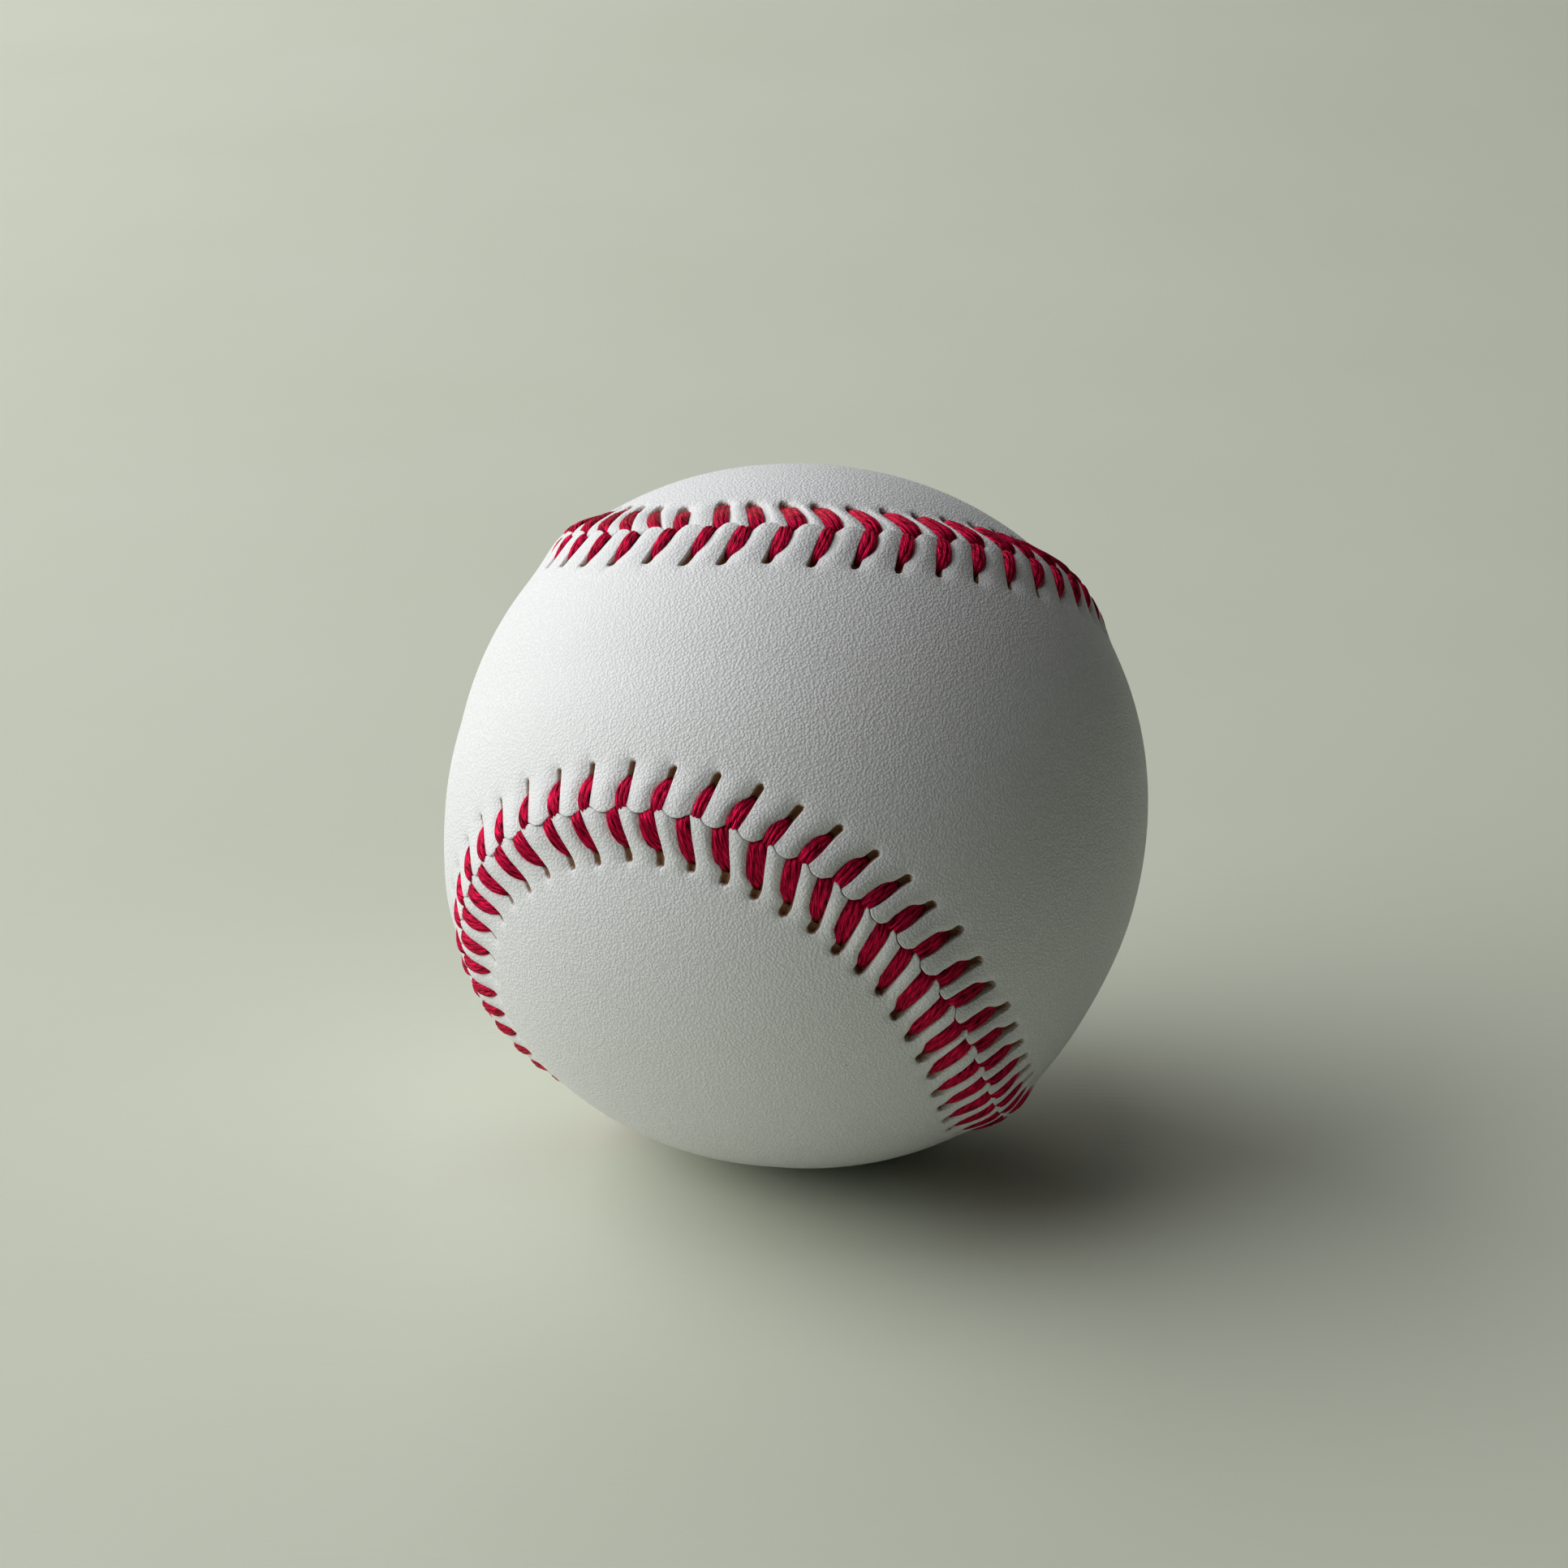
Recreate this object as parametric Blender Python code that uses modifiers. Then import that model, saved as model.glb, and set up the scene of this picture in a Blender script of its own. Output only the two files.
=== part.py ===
"""A baseball: a cork and rubber pill, four layers of wound yarn, two leather panels and one seam thread."""

import math

import bmesh
import bpy
import numpy as np
from mathutils import geometry

MM = 0.001

# Pill: composition cork, two black rubber half shells, two plugs where they meet, two red rubber half shells
CORK_RADIUS = 10.3 * MM
BLACK_RUBBER_WALL = 4.0 * MM
RED_RUBBER_WALL = 2.4 * MM
GASKET_RADIUS = 2.6 * MM

# Thickness of each wound layer, from the pill outwards, and the opening its yarn tail comes through
FIRST_WINDING_WALL = 12.4 * MM
SECOND_WINDING_WALL = 1.6 * MM
THIRD_WINDING_WALL = 2.0 * MM
FINISHING_WINDING_WALL = 0.5 * MM
YARN_TAIL_WIDTH = 3.0 * MM

# Leather cover, one thickness of thread under and over it along the seam
LEATHER_WALL = 1.2 * MM
STITCHES = 108
HOLE_OFFSET = 5.05 * MM
HOLE_LENGTH = 1.6 * MM
THREAD_DIAMETER = 1.0 * MM
SEWN_BAND = 9.0 * MM
BAND_FALL = 16.0 * MM
PANEL_POINT_MARGIN = 4.5 * MM

# Seam line on the ball: amounts of its third and fifth harmonic, its height along the panel axis
SEAM_THIRD = 0.3355
SEAM_FIFTH = 0.0284
SEAM_HEIGHT = 0.58
# Stitches sit wider round the panel ends than on the straights, by this share either way
PITCH_SWING = 0.069
# How far along the seam, in stitches, the thread dives behind its hole, on the waist side and the lobe side
WAIST_LEAN = 0.40
LOBE_LEAN = 0.80

# Clearances between pieces that touch
LAYER_CLEARANCE = 0.25 * MM
COVER_CLEARANCE = 0.40 * MM
THREAD_CLEARANCE = 0.25 * MM

# Turn of the whole ball about X, Y and Z, in degrees, as it lies in use with the waist of one panel in front
BALL_TURN = (29.7, -36.3, 12.5)

SPHERE_SUBDIVISIONS = 3
GASKET_SIDES = 16
SEAM_SAMPLES = 2880
# Edges that turn more than this stay crisp in shading
CRISP_EDGE = math.radians(40)

# Layer radii from the centre outwards
BLACK_INNER = CORK_RADIUS + LAYER_CLEARANCE
BLACK_OUTER = BLACK_INNER + BLACK_RUBBER_WALL
RED_INNER = BLACK_OUTER + LAYER_CLEARANCE
RED_OUTER = RED_INNER + RED_RUBBER_WALL
FIRST_INNER = RED_OUTER + LAYER_CLEARANCE
FIRST_OUTER = FIRST_INNER + FIRST_WINDING_WALL
SECOND_INNER = FIRST_OUTER + LAYER_CLEARANCE
SECOND_OUTER = SECOND_INNER + SECOND_WINDING_WALL
THIRD_INNER = SECOND_OUTER + LAYER_CLEARANCE
THIRD_OUTER = THIRD_INNER + THIRD_WINDING_WALL
FINISHING_INNER = THIRD_OUTER + LAYER_CLEARANCE
FINISHING_OUTER = FINISHING_INNER + FINISHING_WINDING_WALL

# Leather and thread radii
PANEL_OUTER = FINISHING_OUTER + COVER_CLEARANCE + LEATHER_WALL
BAND_INNER = FINISHING_OUTER + THREAD_DIAMETER + 2 * THREAD_CLEARANCE
BAND_OUTER = BAND_INNER + LEATHER_WALL
THREAD_UNDER = FINISHING_OUTER + THREAD_CLEARANCE + THREAD_DIAMETER / 2
THREAD_OVER = BAND_OUTER + THREAD_CLEARANCE + THREAD_DIAMETER / 2
THREAD_END = BAND_OUTER - LEATHER_WALL / 2
SEAM_GAP = THREAD_DIAMETER + 2 * THREAD_CLEARANCE
HOLE_WIDTH = THREAD_DIAMETER + 2 * THREAD_CLEARANCE

WAIST_SIDE = 1
LOBE_SIDE = -1
LEAN = {WAIST_SIDE: WAIST_LEAN, LOBE_SIDE: LOBE_LEAN}


def unit(vectors):
    return vectors / np.linalg.norm(vectors, axis=-1, keepdims=True)


class Seam:
    """The closed seam line, read by stitch number, by distance to one side and by radius."""

    def __init__(self):
        t = np.linspace(0, 2 * math.pi, SEAM_SAMPLES + 1)
        first = 1 - SEAM_THIRD - SEAM_FIFTH
        x = first * np.cos(t) + SEAM_THIRD * np.cos(3 * t) + SEAM_FIFTH * np.cos(5 * t)
        y = first * np.sin(t) - SEAM_THIRD * np.sin(3 * t) + SEAM_FIFTH * np.sin(5 * t)
        self.line = unit(np.stack([x, y, SEAM_HEIGHT * np.sin(2 * t)], axis=1))
        steps = np.linalg.norm(np.diff(self.line, axis=0), axis=1)
        self.run = np.concatenate([[0], np.cumsum(steps)])
        ahead = np.roll(self.line[:-1], -1, axis=0) - np.roll(self.line[:-1], 1, axis=0)
        self.across = np.cross(self.line[:-1], unit(ahead))

    def point(self, stitch, offset, radius):
        turn = stitch / STITCHES
        swing = PITCH_SWING / (8 * math.pi) * math.sin(8 * math.pi * (turn - 1 / 8))
        place = ((turn + swing) % 1) * self.run[-1]
        k = np.interp(place, self.run, np.arange(len(self.run)))
        here = self.between(self.line, k)
        side = self.between(np.concatenate([self.across, self.across[:1]]), k)
        angle = offset / BAND_OUTER
        return radius * (math.cos(angle) * here + math.sin(angle) * side)

    @staticmethod
    def between(rows, k):
        low = min(int(k), len(rows) - 2)
        return unit(rows[low] + (k - low) * (rows[low + 1] - rows[low]))

    def signed_distance(self, direction):
        nearest = int(np.argmax(self.line[:-1] @ direction))
        gap = math.acos(min(1.0, float(self.line[nearest] @ direction))) * BAND_OUTER
        return math.copysign(gap, float(self.across[nearest] @ direction))


SEAM = Seam()


def leather_radius(distance):
    """Outer radius of the leather, highest along the sewn band and lowest in the middle of a panel."""
    share = min(1.0, max(0.0, (distance - SEWN_BAND) / BAND_FALL))
    fall = share * share * (3 - 2 * share)
    return BAND_OUTER + fall * (PANEL_OUTER - BAND_OUTER)


def new_material(name, colour, roughness):
    material = bpy.data.materials.new(name)
    material.use_nodes = True
    shader = material.node_tree.nodes["Principled BSDF"]
    shader.inputs["Base Color"].default_value = (*colour, 1)
    shader.inputs["Roughness"].default_value = roughness
    shader.inputs["Metallic"].default_value = 0
    return material


def new_object(name, data, collection, parent, material=None):
    obj = bpy.data.objects.new(name, data)
    collection.objects.link(obj)
    obj.parent = parent
    if material is not None:
        data.materials.append(material)
    return obj


def mesh_from(name, bm):
    bmesh.ops.recalc_face_normals(bm, faces=bm.faces)
    mesh = bpy.data.meshes.new(name)
    bm.to_mesh(mesh)
    bm.free()
    return mesh


def ball_mesh(name, radius):
    bm = bmesh.new()
    bmesh.ops.create_icosphere(bm, subdivisions=SPHERE_SUBDIVISIONS, radius=radius)
    return mesh_from(name, bm)


def add_hollow_ball(bm, inner, outer):
    """Two nested balls whose facets lie in line, the inner one facing in. Returns the faces of each."""
    surfaces = []
    for radius in (inner, outer):
        before = set(bm.faces)
        bmesh.ops.create_icosphere(bm, subdivisions=SPHERE_SUBDIVISIONS, radius=radius)
        surfaces.append([f for f in bm.faces if f not in before])
    bmesh.ops.reverse_faces(bm, faces=surfaces[0])
    return surfaces


def half_shell_mesh(name, inner, outer, axis, side):
    """Half of a hollow ball, cut flat across axis 0, 1 or 2, half a clearance from the middle."""
    bm = bmesh.new()
    normal = [0.0, 0.0, 0.0]
    normal[axis] = side
    add_hollow_ball(bm, inner, outer)
    whole = bm.verts[:] + bm.edges[:] + bm.faces[:]
    cut = [LAYER_CLEARANCE / 2 * n for n in normal]
    bmesh.ops.bisect_plane(bm, geom=whole, plane_co=cut, plane_no=normal, clear_inner=True)
    bmesh.ops.bridge_loops(bm, edges=[e for e in bm.edges if e.is_boundary])
    return mesh_from(name, bm)


def winding_mesh(name, inner, outer):
    """A hollow ball of yarn, with one small opening where the tail of the yarn comes through."""
    bm = bmesh.new()
    surfaces = add_hollow_ball(bm, inner, outer)
    tail_faces = [max(faces, key=lambda f: f.calc_center_median().z) for faces in surfaces]
    for face in tail_faces:
        narrowing = (face.calc_perimeter() - 3 * YARN_TAIL_WIDTH) / (6 * math.sqrt(3))
        bmesh.ops.inset_individual(bm, faces=[face], thickness=narrowing)
    bmesh.ops.delete(bm, geom=tail_faces, context="FACES")
    bmesh.ops.bridge_loops(bm, edges=[e for e in bm.edges if e.is_boundary])
    return mesh_from(name, bm)


def gasket_mesh(name, radius, inner, outer):
    bm = bmesh.new()
    size = {"radius1": radius, "radius2": radius, "depth": outer - inner}
    bmesh.ops.create_cone(bm, cap_ends=True, segments=GASKET_SIDES, **size)
    return mesh_from(name, bm)


def panel_mesh(name):
    """Outer face of one figure-eight panel with its holes, meshed on a flat chart and laid on the ball."""
    places, holes, edges = [], [], []

    def add_loop(points, hole):
        start = len(places)
        count = len(points)
        places.extend(points)
        holes.extend([hole] * count)
        return [(start + k, start + (k + 1) % count) for k in range(count)]

    rim = [SEAM.point(k, SEAM_GAP / 2, 1) for k in range(STITCHES)]
    edges += add_loop(rim, None)
    pitch = SEAM.run[-1] * BAND_OUTER / STITCHES
    half_wide = HOLE_WIDTH / 2 / pitch
    near, far = HOLE_OFFSET - HOLE_LENGTH / 2, HOLE_OFFSET + HOLE_LENGTH / 2
    corners = ((-half_wide, near), (half_wide, near), (half_wide, far), (-half_wide, far))
    for k in range(STITCHES):
        hole = [SEAM.point(k + 0.5 + along, offset, 1) for along, offset in corners]
        edges += add_loop(hole, k)
    add_loop([SEAM.point(k, SEWN_BAND, 1) for k in range(STITCHES)], None)
    bm = bmesh.new()
    bmesh.ops.create_icosphere(bm, subdivisions=SPHERE_SUBDIVISIONS, radius=1)
    inside = [np.array(v.co) for v in bm.verts]
    bm.clear()
    add_loop([p for p in inside if SEAM.signed_distance(p) > SEWN_BAND + PANEL_POINT_MARGIN], None)

    chart = [flat_chart(p) for p in places]
    flat = geometry.delaunay_2d_cdt(chart, edges, [], 1, 1e-9)
    source = [ids[0] for ids in flat[3]]
    verts = []
    for k in source:
        verts.append(bm.verts.new(places[k] * leather_radius(SEAM.signed_distance(places[k]))))
    for face in flat[2]:
        ends = {holes[source[k]] for k in face}
        if len(ends) > 1 or None in ends:
            bm.faces.new([verts[k] for k in face])
    return mesh_from(name, bm)


def flat_chart(p):
    """Mercator chart along the great circle through the long axis of the panel."""
    long_way = (p[0] - p[1]) / math.sqrt(2)
    sideways = (p[0] + p[1]) / math.sqrt(2)
    return (math.atan2(long_way, p[2]), math.atanh(sideways))


def stitch_points(side, k):
    """One leg of thread: up through its hole, over the leather, and down into the seam."""
    hole = k + 0.5
    dive = hole - LEAN[side]
    return [
        SEAM.point(hole, side * HOLE_OFFSET, THREAD_UNDER),
        SEAM.point(hole, side * HOLE_OFFSET, THREAD_OVER),
        SEAM.point(dive, 0, THREAD_OVER),
        SEAM.point(dive, 0, THREAD_UNDER),
    ]


def needle_route(first_side):
    """Hole after hole against the count, changing sides each time, with the end tucked into the seam."""
    points = []
    side = first_side
    for k in range(STITCHES):
        points += stitch_points(side, -k)
        side = -side
    points[-1] *= THREAD_END / THREAD_UNDER
    return points


def thread_curve(name):
    """One thread with a needle at each end: its middle lies under the seam, between the first two holes."""
    middle = SEAM.point(0.5, 0, THREAD_UNDER)
    route = needle_route(WAIST_SIDE)[::-1] + [middle] + needle_route(LOBE_SIDE)
    curve = bpy.data.curves.new(name, "CURVE")
    curve.dimensions = "3D"
    curve.bevel_depth = THREAD_DIAMETER / 2
    curve.bevel_resolution = 0
    curve.use_fill_caps = True
    spline = curve.splines.new("POLY")
    spline.points.add(len(route) - 1)
    for point, place in zip(spline.points, route):
        point.co = (*place, 1)
    return curve


def cut_gasket_seats(shell, cutters):
    for cutter in cutters:
        cut = shell.modifiers.new(cutter.name, "BOOLEAN")
        cut.operation = "DIFFERENCE"
        cut.solver = "EXACT"
        cut.object = cutter


def build_pill(parts, cutters, ball):
    cork = new_material("cork_composition", (0.36, 0.20, 0.10), 0.9)
    black = new_material("black_rubber", (0.02, 0.02, 0.02), 0.6)
    red = new_material("red_rubber", (0.42, 0.05, 0.04), 0.6)
    new_object("cork_core", ball_mesh("cork_core", CORK_RADIUS), parts, ball, cork)

    seats = []
    seat_mesh = gasket_mesh("gasket_seat", GASKET_RADIUS + LAYER_CLEARANCE, CORK_RADIUS, RED_OUTER)
    # The flat outer end of a plug stays inside the round of the black shell
    plug_outer = math.sqrt(BLACK_OUTER**2 - GASKET_RADIUS**2) - LAYER_CLEARANCE
    plug_mesh = gasket_mesh("gasket", GASKET_RADIUS, BLACK_INNER, plug_outer)
    plug_mesh.materials.append(red)
    for name, side in (("left", -1), ("right", 1)):
        seat = new_object("gasket_seat_" + name, seat_mesh, cutters, ball)
        seat.hide_render = True
        seat.display_type = "WIRE"
        seat.location.x = side * (CORK_RADIUS + RED_OUTER) / 2
        plug = new_object("gasket_" + name, plug_mesh, parts, ball)
        plug.location.x = side * (BLACK_INNER + plug_outer) / 2
        for piece in (seat, plug):
            piece.rotation_euler.y = math.pi / 2
        seats.append(seat)

    for name, side in (("lower", -1), ("upper", 1)):
        mesh = half_shell_mesh("black_shell_" + name, BLACK_INNER, BLACK_OUTER, 2, side)
        cut_gasket_seats(new_object(mesh.name, mesh, parts, ball, black), seats)
    for name, side in (("left", -1), ("right", 1)):
        mesh = half_shell_mesh("red_shell_" + name, RED_INNER, RED_OUTER, 0, side)
        new_object(mesh.name, mesh, parts, ball, red)


def build_windings(parts, ball):
    grey_wool = (0.30, 0.29, 0.28)
    white_wool = (0.74, 0.71, 0.64)
    white_cotton = (0.80, 0.78, 0.72)
    layers = (
        ("first_winding", FIRST_INNER, FIRST_OUTER, grey_wool),
        ("second_winding", SECOND_INNER, SECOND_OUTER, white_wool),
        ("third_winding", THIRD_INNER, THIRD_OUTER, grey_wool),
        ("finishing_winding", FINISHING_INNER, FINISHING_OUTER, white_cotton),
    )
    for name, inner, outer, colour in layers:
        yarn = new_material(name + "_yarn", colour, 0.95)
        new_object(name, winding_mesh(name, inner, outer), parts, ball, yarn)


def build_cover(parts, ball):
    """Two panels of one cut: half a turn about X carries the seam into itself and panel onto panel."""
    leather = new_material("white_leather", (0.86, 0.86, 0.84), 0.45)
    mesh = panel_mesh("cover_panel")
    mesh.materials.append(leather)
    for name, half_turn in (("waist_panel", 0), ("lobe_panel", math.pi)):
        panel = new_object(name, mesh, parts, ball)
        panel.rotation_euler.x = half_turn
        wall = panel.modifiers.new("leather_wall", "SOLIDIFY")
        wall.thickness = LEATHER_WALL
        wall.offset = -1
    waxed = new_material("red_waxed_thread", (0.45, 0.01, 0.03), 0.5)
    new_object("seam_thread", thread_curve("seam_thread"), parts, ball, waxed)


def shade_rounded(collection):
    for obj in collection.objects:
        if obj.type == "MESH":
            obj.data.shade_smooth()
            obj.data.set_sharp_from_angle(angle=CRISP_EDGE)


def main():
    for obj in list(bpy.data.objects):
        bpy.data.objects.remove(obj)
    parts = bpy.data.collections.new("baseball")
    cutters = bpy.data.collections.new("baseball_cutters")
    for collection in (parts, cutters):
        bpy.context.scene.collection.children.link(collection)
    ball = bpy.data.objects.new("ball_turn", None)
    ball.rotation_euler = [math.radians(angle) for angle in BALL_TURN]
    parts.objects.link(ball)
    build_pill(parts, cutters, ball)
    build_windings(parts, ball)
    build_cover(parts, ball)
    shade_rounded(parts)


main()
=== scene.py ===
"""The looks of a baseball: two sewn leather panels and their thread over a wound core, on a plain floor."""

import math

import bpy
import numpy as np
from mathutils import Euler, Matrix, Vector, geometry


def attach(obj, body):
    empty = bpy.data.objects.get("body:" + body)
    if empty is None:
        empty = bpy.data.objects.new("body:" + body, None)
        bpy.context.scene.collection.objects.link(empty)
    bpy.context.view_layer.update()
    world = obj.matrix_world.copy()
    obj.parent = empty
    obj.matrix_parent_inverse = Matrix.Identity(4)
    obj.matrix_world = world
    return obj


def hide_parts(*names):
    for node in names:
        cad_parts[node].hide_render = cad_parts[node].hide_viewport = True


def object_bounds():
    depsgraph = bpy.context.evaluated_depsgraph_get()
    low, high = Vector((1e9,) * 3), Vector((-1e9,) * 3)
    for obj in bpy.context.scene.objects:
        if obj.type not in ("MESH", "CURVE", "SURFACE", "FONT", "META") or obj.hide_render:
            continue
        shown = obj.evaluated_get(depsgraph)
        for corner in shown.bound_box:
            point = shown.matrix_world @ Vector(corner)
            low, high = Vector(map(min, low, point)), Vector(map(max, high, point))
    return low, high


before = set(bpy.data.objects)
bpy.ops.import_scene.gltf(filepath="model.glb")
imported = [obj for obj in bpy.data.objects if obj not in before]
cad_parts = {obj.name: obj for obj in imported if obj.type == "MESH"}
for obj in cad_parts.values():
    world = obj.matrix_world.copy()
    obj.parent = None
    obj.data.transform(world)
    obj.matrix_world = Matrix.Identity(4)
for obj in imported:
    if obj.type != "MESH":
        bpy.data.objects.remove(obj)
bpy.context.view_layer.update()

MM = 0.001

# Seam line on the ball, as the part has it: third and fifth harmonic, height along the panel axis and
# swing of the stitch spacing
STITCHES = 108
SEAM_THIRD = 0.3355
SEAM_FIFTH = 0.0284
SEAM_HEIGHT = 0.58
PITCH_SWING = 0.069
SEAM_SAMPLES = 2880
BAND_RADIUS = 37.4
# Where the sewing has pulled the seam aside, toward the waist panel: stitch number, reach in stitches and
# millimetres
PULLED_ASIDE = ((16.0, 3.0, 1.35), (3.0, 3.0, 0.35))
# How the ball lies, in degrees, and the two sides of the seam
BALL_TURN = (29.7, -36.3, 12.5)
WAIST = 1
LOBE = -1

# Sizes below are in millimetres until the mesh is made
# Leather: radius in the middle of each panel and along the seam, and the ridge that the sewing pulls up
PANEL_MIDDLE = {WAIST: 36.15, LOBE: 36.6}
SEAM_LEVEL = 37.3
PANEL_RISE_REACH = 34.0
RIDGE_RISE = 0.95
RIDGE_REACH = 3.3
# Where the ball is out of round, flatter low on one side and fuller on the other: direction, depth, reach
OUT_OF_ROUND = (((0.84, -0.20, -0.51), 0.55, 8.5), ((-0.966, -0.09, -0.25), -0.55, 6.0))
LEATHER_WALL = 1.2
SEWN_WALL = 1.4
SEWN_WALL_REACH = 5.0
SEWN_BAND = 9.0
# Points over the middle of the panels: how many on a whole ball, how clear of the sewn band, and two rings
# between, each a few rim steps further out
PANEL_POINTS = 12000
PANEL_POINTS_CLEAR = 2.2
RING_STEPS = (0.6, 1.5)

# Sewing, in stitches: how far a leg leans along the seam, how far the sewing runs ahead of an even count and
# how far one side's holes lie behind, each at a few stitch numbers round the ball. Hand sewing is uneven, so
# they were set stretch by stretch, by measuring the photo
LEAN = {
    WAIST: {
        0: 0.28, 5: 0.26, 8: 0.36, 12: 0.47, 30: 0.42, 54: 0.30,
        61: 0.06, 67: 0.10, 74: 0.42, 80: 0.46, 94: 0.44,
    },
    LOBE: {
        0: 0.32, 6: 0.34, 9: 0.42, 11: 0.42, 12: 0.34, 13: 0.3, 14: 0.5, 15: 0.9, 16: 1.1, 18: 1.1,
        20: 0.7, 24: 0.6, 30: 0.56, 54: 0.46, 60: 0.30, 67: 0.36, 75: 0.48, 80: 0.62, 94: 0.56,
    },
}
LEAN_REACH = {WAIST: 5.05, LOBE: 4.3}
LEAN_PAST_SEAM = 1.2
RUN_AHEAD = {
    0: -0.5, 3: -0.43, 5: -0.26, 7: -0.08, 12: 0.10, 24: 0,
    62: -0.12, 66: 0, 75: 0.03, 79: 0.26, 86: 0.15, 98: 0,
}
HOLE_STAGGER = {
    WAIST: {0: 0, 12: 0.03, 24: 0, 70: 0, 76: 0.04, 94: 0},
    LOBE: {
        0: -0.05, 6: -0.03, 10: -0.1, 12: -0.28, 13: -0.4, 14: -0.17, 15: -0.06, 16: 0.06, 19: 0,
        24: -0.13, 60: -0.13, 67: -0.04, 76: -0.08, 94: -0.13,
    },
}
# How far a stitch strays from its neighbours by chance: lean and place in stitches, fullness as a share, and
# the ends of its slot and its leg in millimetres
LEAN_STRAY = 0.03
PLACE_STRAY = 0.02
FULLNESS_STRAY = 0.08
HOLE_END_STRAY = 0.14
LEG_END_STRAY = 0.18
STITCH_SEED = {WAIST: 5, LOBE: 8}

# Slots that the thread pulls into the leather, from the seam out to a punched hole: half widths at the seam
# and in the middle, then at the hole, the run over which a slot narrows to its hole, mostly on one side, and
# the walls and shoulders, crisp ahead of the thread and softer behind it
HOLE_END = {
    WAIST: {0: 5.0, 12: 5.1, 14.5: 4.1, 17: 4.0, 21: 4.9, 30: 5.4, 66: 4.95, 73: 5.5, 80: 5.6, 94: 5.4},
    LOBE: {
        0: 5.35, 12: 5.4, 13: 5.7, 14: 5.1, 15: 5.9, 16: 6.4, 17: 6.4, 21: 5.6, 30: 5.3,
        66: 5.35, 80: 5.45,
    },
}
SLOT_HALF = {WAIST: (0.68, 0.80), LOBE: (0.80, 0.90)}
SLOT_SWELL = (0.1, 1.7)
SLOT_FULLNESS = {
    WAIST: {
        0: 0.82, 6: 0.90, 9: 1.0, 12: 1.0, 14: 0.95, 16: 0.82, 17: 0.72, 18: 0.58, 20: 0.6, 22: 0.85,
        30: 0.95, 62: 0.86, 67: 0.96, 71: 1.0, 77: 1.18, 84: 1.12, 94: 1,
    },
    LOBE: {
        0: 1.36, 6: 1.32, 9: 1.16, 12: 1.0, 13: 0.92, 14: 0.72, 15: 0.9, 18: 0.9, 30: 1,
        60: 0.90, 67: 0.86, 76: 1.08, 86: 1.12, 94: 1,
    },
}
HOLE_HALF = {
    WAIST: {
        0: 0.42, 12: 0.48, 15: 0.42, 30: 0.46, 60: 0.34, 70: 0.46, 76: 0.58, 80: 0.48, 86: 0.42,
        94: 0.46,
    },
    LOBE: {0: 0.52, 12: 0.54, 30: 0.50, 60: 0.40, 70: 0.52, 76: 0.62, 80: 0.54, 86: 0.46, 94: 0.50},
}
NARROWING = {
    WAIST: {0: 1.3, 12: 1.1, 30: 1.5, 60: 2.0, 67: 1.4, 71: 1.2, 77: 0.9, 94: 1.4},
    LOBE: {0: 0.8, 12: 0.5, 30: 1.4, 60: 1.7, 67: 1.2, 71: 1.0, 76: 0.8, 94: 1.4},
}
NARROWED_PAST_LEG = 0.4
NARROWING_SKEW = 0.85
SLOT_WALL = 0.17
WALL_SKEW = 0.06
SLOT_SHOULDER = 0.22
SLOT_DEPTH = 0.50
DIP_TO_HOLE = (-0.8, 0.1)
HOLE_DEPTH = {
    WAIST: {0: 1.0, 12: 1.12, 30: 0.95, 63: 0.5, 69: 0.85, 76: 1.1, 94: 0.95},
    LOBE: {0: 0.75, 12: 0.65, 30: 0.9, 64: 0.6, 72: 0.75, 78: 1.1, 94: 0.9},
}
# Rounding of the fingers between slots, and the cut edge: its nose, tuck, wave, notch under a leg, and the
# crack left open along the seam
FINGER_ROUND = 0.34
ROUND_SKEW = 0.14
ROUND_FADE = (3.4, 7.4)
EDGE_NOSE = {WAIST: 0.09, LOBE: 0.16}
NOSE_FADE = (-0.3, 0.25)
EDGE_TUCK = {WAIST: 0.0, LOBE: 0.09}
TUCK_REACH = 1.8
EDGE_SHIFT = 0.2
EDGE_WAVE = 0.34
EDGE_SQUARE = 1.4
EDGE_NOTCH = 0.35
NOTCH_FADE = (0.5, 1.1)
EDGE_REACH = 2.2
SEAM_CRACK = {0: 0.05, 64: 0.04, 72: 0.07, 78: 0.14, 88: 0.14, 98: 0.06}
# Where cut leather shows tan: along a slot's crisp side, and by how deep the leather is pressed at a hole and
# down a wall
EDGE_TAN = 0.6
TAN_SIDE = (0.3, 0.9)
TAN_LIP = (0.04, 0.16)
TAN_WALL = (0.25, 0.45)

# Thread: half thickness, how far its top lies under the leather's crest at a few stitch numbers, more at its
# hole, and where each leg goes down
THREAD_HALF = 0.44
THREAD_SINK = {
    WAIST: {
        0: -0.05, 1.5: -0.36, 5: -0.34, 8: -0.2, 11: -0.08, 13: -0.12, 16: -0.22, 18: -0.12, 20: 0.2,
        22: 0.1, 30: 0,
        62: -0.30, 66: -0.16, 71: 0, 76: 0.14, 79: 0.08, 82: -0.08, 86: -0.18, 96: -0.1,
    },
    LOBE: {
        0: -0.05, 1.5: -0.36, 5: -0.34, 8: -0.2, 11: -0.08, 13: -0.12, 16: -0.22, 18: -0.32, 21: -0.32, 30: 0,
        62: -0.30, 66: -0.16, 71: 0, 76: 0.14, 79: 0.08, 82: -0.08, 86: -0.18, 96: -0.1,
    },
}
SINK_AT_HOLE = {0: 0.05, 7: 0.12, 12: 0.2, 30: 0.26, 76: 0.26, 82: 0.12, 94: 0.2}
THREAD_UNDER = 35.45
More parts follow.
